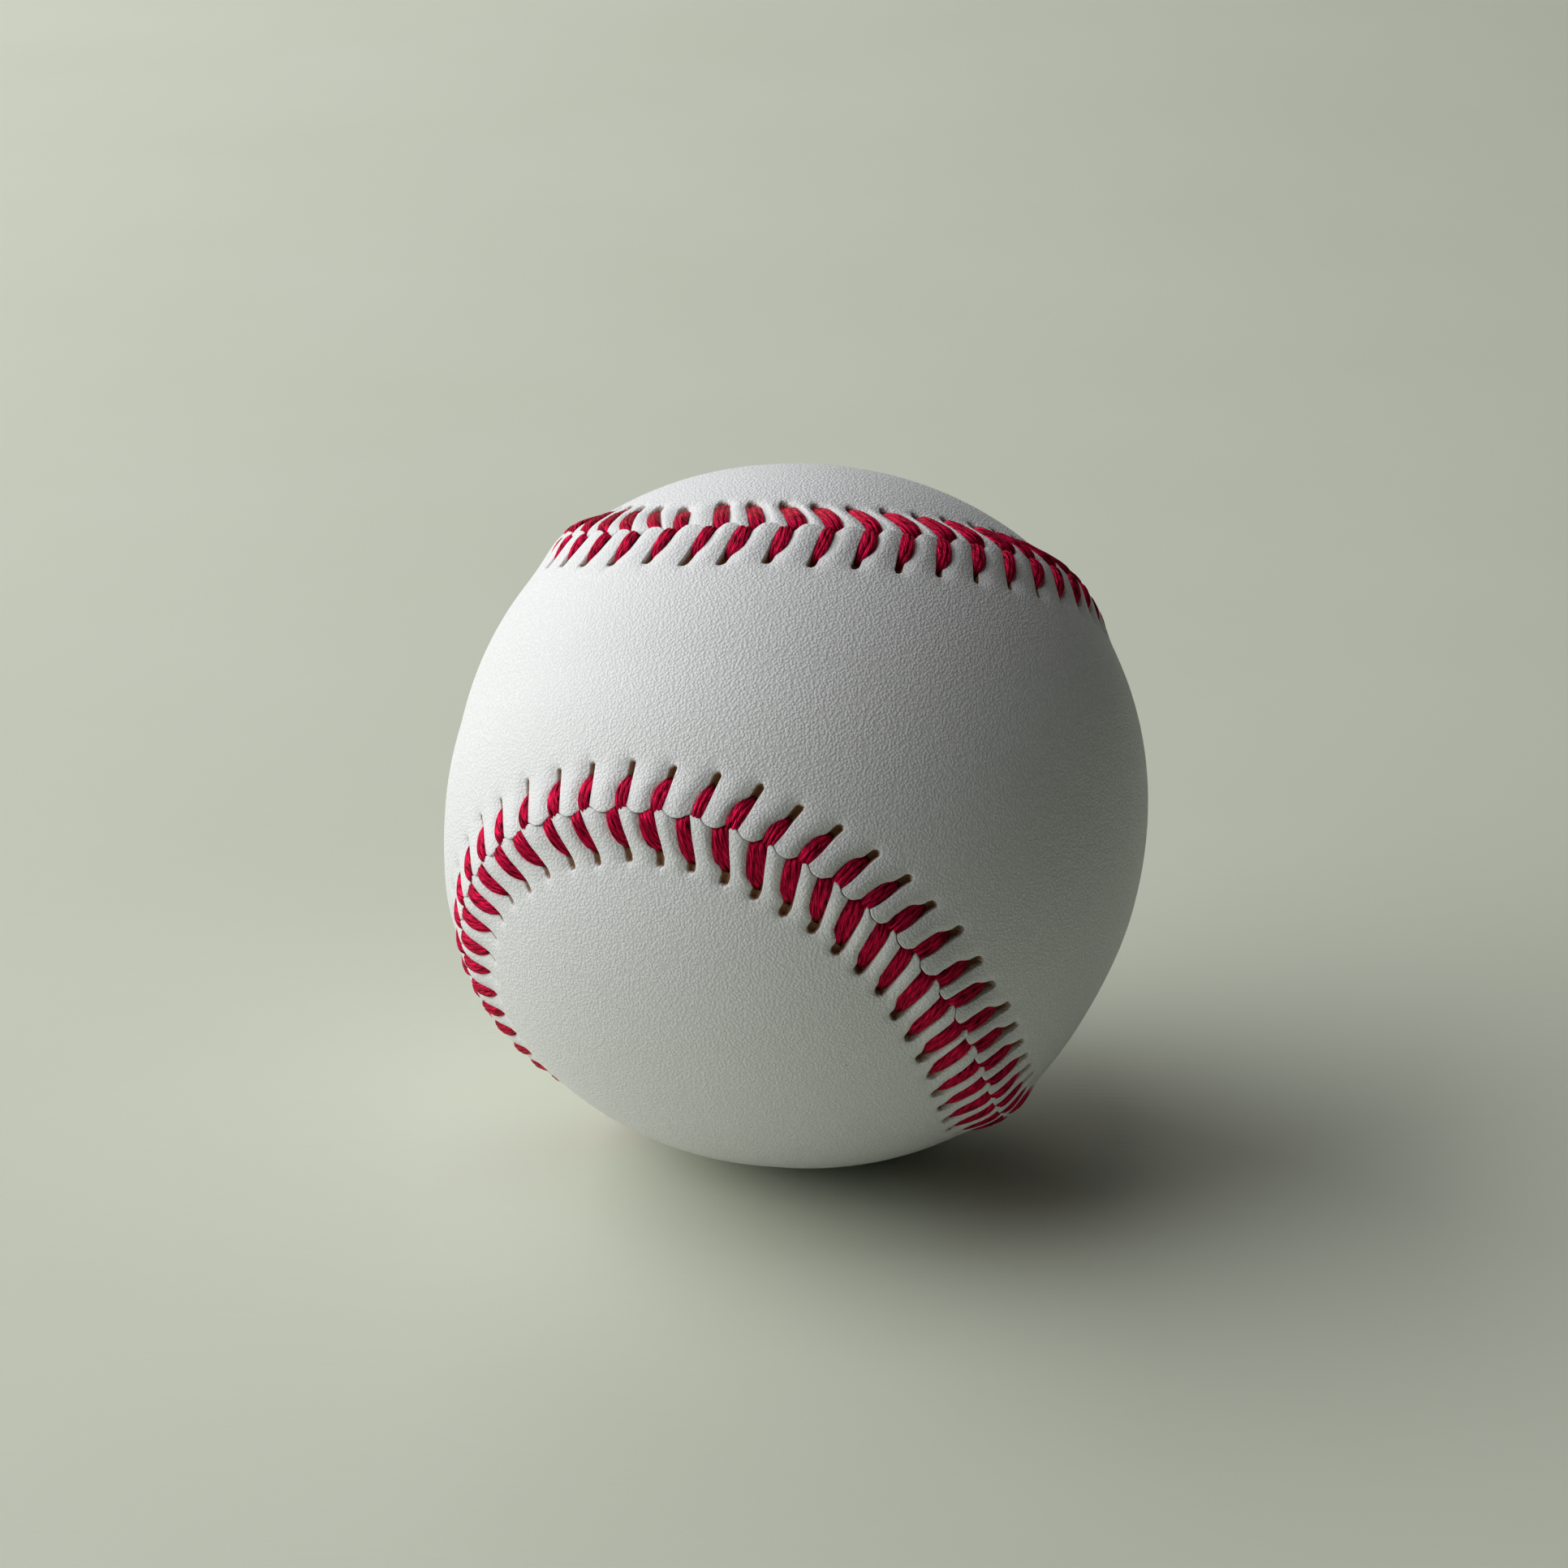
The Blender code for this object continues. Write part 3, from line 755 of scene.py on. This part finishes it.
def waxed_thread():
    """Red-dyed cotton, twisted from plies and waxed: a deep crimson with small glints along the fibres."""
    material, tree, shader = new_material("waxed_cotton_thread")
    along = add(tree, "ShaderNodeAttribute", attribute_name="along_thread")
    across = add(tree, "ShaderNodeAttribute", attribute_name="across_thread")
    # Fibres are drawn 0.13 mm wide and 1.3 mm long, coarser than cotton so that they show, winding along
    wind = add(
        tree,
        "ShaderNodeMath",
        {1: 0.22},
        {0: along.outputs["Fac"], 2: across.outputs["Fac"]},
        operation="MULTIPLY_ADD",
    )
    lie = add(tree, "ShaderNodeCombineXYZ", links={"X": wind.outputs[0], "Y": along.outputs["Fac"]})
    stretch = add(
        tree,
        "ShaderNodeVectorMath",
        {1: (1 / 0.13, 1 / 1.3, 1)},
        {0: lie.outputs[0]},
        operation="MULTIPLY",
    )
    fibre = add(tree, "ShaderNodeTexNoise", {"Scale": 1, "Detail": 3}, {"Vector": stretch.outputs[0]})
    streak = add(
        tree,
        "ShaderNodeMapRange",
        {"From Min": 0.36, "From Max": 0.62},
        {"Value": fibre.outputs["Fac"]},
    )
    dyed = add(
        tree,
        "ShaderNodeMix",
        {6: linear("#440310"), 7: linear("#f81a54")},
        {0: streak.outputs["Result"]},
        data_type="RGBA",
    )
    # Painted shade: the grooves between plies, and the whole underside of the thread, are darkened toward
    # #33000a
    groove = add(tree, "ShaderNodeAttribute", attribute_name="painted_ply_shade")
    shaded = add(
        tree,
        "ShaderNodeMix",
        {7: linear("#33000a")},
        {0: groove.outputs["Fac"], 6: dyed.outputs[2]},
        data_type="RGBA",
    )
    bump = add(
        tree, "ShaderNodeBump", {"Strength": 1.0, "Distance": 0.08 * MM}, {"Height": streak.outputs["Result"]}
    )
    tree.links.new(shaded.outputs[2], shader.inputs["Base Color"])
    tree.links.new(bump.outputs[0], shader.inputs["Normal"])
    # The dye goes through the fibres, so their lustre is red as well, which the metallic share gives
    shader.inputs["Metallic"].default_value = 0.6
    shader.inputs["Roughness"].default_value = 0.38
    shader.inputs["IOR"].default_value = 1.5
    shader.inputs["Specular IOR Level"].default_value = 0.25
    shader.inputs["Specular Tint"].default_value = linear("#ff7c98")
    return material


def core_material(name, dark, light, size, roughness):
    """A hidden layer of the core: two tones mottled at the size of its grains or yarn."""
    material, tree, shader = new_material(name)
    place = add(tree, "ShaderNodeTexCoord").outputs["Object"]
    grain = add(tree, "ShaderNodeTexVoronoi", {"Scale": per_mm(size)}, {"Vector": place})
    tone = add(
        tree,
        "ShaderNodeMix",
        {6: linear(dark), 7: linear(light)},
        {0: grain.outputs["Distance"]},
        data_type="RGBA",
    )
    bump = add(
        tree, "ShaderNodeBump", {"Strength": 0.4, "Distance": 0.1 * MM}, {"Height": grain.outputs["Distance"]}
    )
    tree.links.new(tone.outputs[2], shader.inputs["Base Color"])
    tree.links.new(bump.outputs[0], shader.inputs["Normal"])
    shader.inputs["Roughness"].default_value = roughness
    return material


def painted_floor():
    """Chalk paint brushed on plaster: pale sage with faint strokes."""
    material, tree, shader = new_material("brushed_chalk_paint")
    place = add(tree, "ShaderNodeTexCoord").outputs["Object"]
    cloud = add(tree, "ShaderNodeTexNoise", {"Scale": per_mm(60), "Detail": 3}, {"Vector": place})
    tone = add(
        tree,
        "ShaderNodeMix",
        {6: linear("#d0d5c3"), 7: linear("#d7dccc")},
        {0: cloud.outputs["Fac"]},
        data_type="RGBA",
    )
    turned = add(
        tree,
        "ShaderNodeMapping",
        {"Rotation": (0, 0, math.radians(-38)), "Scale": (per_mm(14), per_mm(0.7), 1)},
        {"Vector": place},
    )
    stroke = add(tree, "ShaderNodeTexNoise", {"Scale": 1, "Detail": 3}, {"Vector": turned.outputs[0]})
    bump = add(
        tree, "ShaderNodeBump", {"Strength": 0.5, "Distance": 0.06 * MM}, {"Height": stroke.outputs["Fac"]}
    )
    tree.links.new(tone.outputs[2], shader.inputs["Base Color"])
    tree.links.new(bump.outputs[0], shader.inputs["Normal"])
    shader.inputs["Roughness"].default_value = 0.75
    return material


def show(piece, slot, material, *nodes):
    """Give a piece its material and let it stand for its CAD nodes."""
    piece.data.materials.append(material)
    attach(piece, "root")
    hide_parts(*nodes)


leather = alum_tanned_leather()
for name, slots in (("waist_panel_leather", SLOTS[WAIST]), ("lobe_panel_leather", SLOTS[LOBE])):
    panel = panel_piece(name, slots)
    show(panel, "white_leather", leather, name.replace("_leather", ""))
show(sewn_thread("sewn_red_thread"), "red_thread", waxed_thread(), "seam_thread")

RED_PIECES = ["gasket_left", "gasket_right", "red_shell_left", "red_shell_right"]
CORE = {
    # Cork grains pressed with rubber: dull brown flecks
    "pressed_cork": (("#6b4a2c", "#a9825a", 2.2, 0.9), ["cork_core"]),
    # Rubber from a polished mould: even, with a soft sheen
    "moulded_black_rubber": (("#141414", "#1f1f1f", 1.0, 0.6), ["black_shell_lower", "black_shell_upper"]),
    "moulded_red_rubber": (("#8a2a22", "#a63a30", 1.0, 0.6), RED_PIECES),
    # Yarn wound tight: matt, a little uneven from turn to turn
    "wound_grey_wool": (("#77736d", "#9a968f", 1.6, 0.95), ["first_winding", "third_winding"]),
    "wound_white_wool": (("#cfc9ba", "#e6e1d4", 1.6, 0.95), ["second_winding"]),
    "wound_white_cotton": (("#d8d3c6", "#efebdf", 0.8, 0.95), ["finishing_winding"]),
}
for name, (look, nodes) in CORE.items():
    material = core_material(name, *look)
    for node in nodes:
        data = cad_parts[node].data
        data.materials.clear()
        data.materials.append(material)

# Floor, light and camera
low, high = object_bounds()
bpy.ops.mesh.primitive_plane_add(size=6, location=(0, 0, low.z))
floor = bpy.context.object
floor.name = "floor"
floor.data.materials.append(painted_floor())


def soft_lamp(name, place, size, power):
    data = bpy.data.lights.new(name, "AREA")
    data.shape = "RECTANGLE"
    data.size, data.size_y = size
    data.energy = power
    lamp = bpy.data.objects.new(name, data)
    lamp.location = place
    lamp.rotation_euler = (-Vector(place)).to_track_quat("-Z", "Y").to_euler()
    bpy.context.scene.collection.objects.link(lamp)


soft_lamp("window_light", (-0.98, 0.09, 0.60), (1.8, 1.2), 18.4)
soft_lamp("bounce_from_far_wall", (-0.32, 1.00, 0.47), (0.7, 0.7), 2.3)
soft_lamp("bounce_from_ceiling", (-0.30, 0, 1.11), (0.8, 0.8), 2.4)
world = bpy.data.worlds.new("dim_room")
world.use_nodes = True
world.node_tree.nodes["Background"].inputs["Color"].default_value = linear("#fff0dc")
world.node_tree.nodes["Background"].inputs["Strength"].default_value = 0.005
bpy.context.scene.world = world
bpy.context.scene.view_settings.view_transform = "Standard"

ELEVATION = math.radians(21)
CAMERA_DISTANCE = 15 * BAND_RADIUS * MM
LENS = 123.2
FRAME_SHIFT = (-1.48 * MM, 3.3 * MM)
back = Vector((0, -math.cos(ELEVATION), math.sin(ELEVATION)))
up = Vector((0, math.sin(ELEVATION), math.cos(ELEVATION)))
camera_data = bpy.data.cameras.new("camera")
camera_data.lens = LENS
camera_data.sensor_width = 36
camera_data.clip_start, camera_data.clip_end = 0.01, 50
camera = bpy.data.objects.new("camera", camera_data)
camera.location = back * CAMERA_DISTANCE + Vector((FRAME_SHIFT[0], 0, 0)) + up * FRAME_SHIFT[1]
camera.rotation_euler = (-back).to_track_quat("-Z", "Y").to_euler()
bpy.context.scene.collection.objects.link(camera)
bpy.context.scene.camera = camera
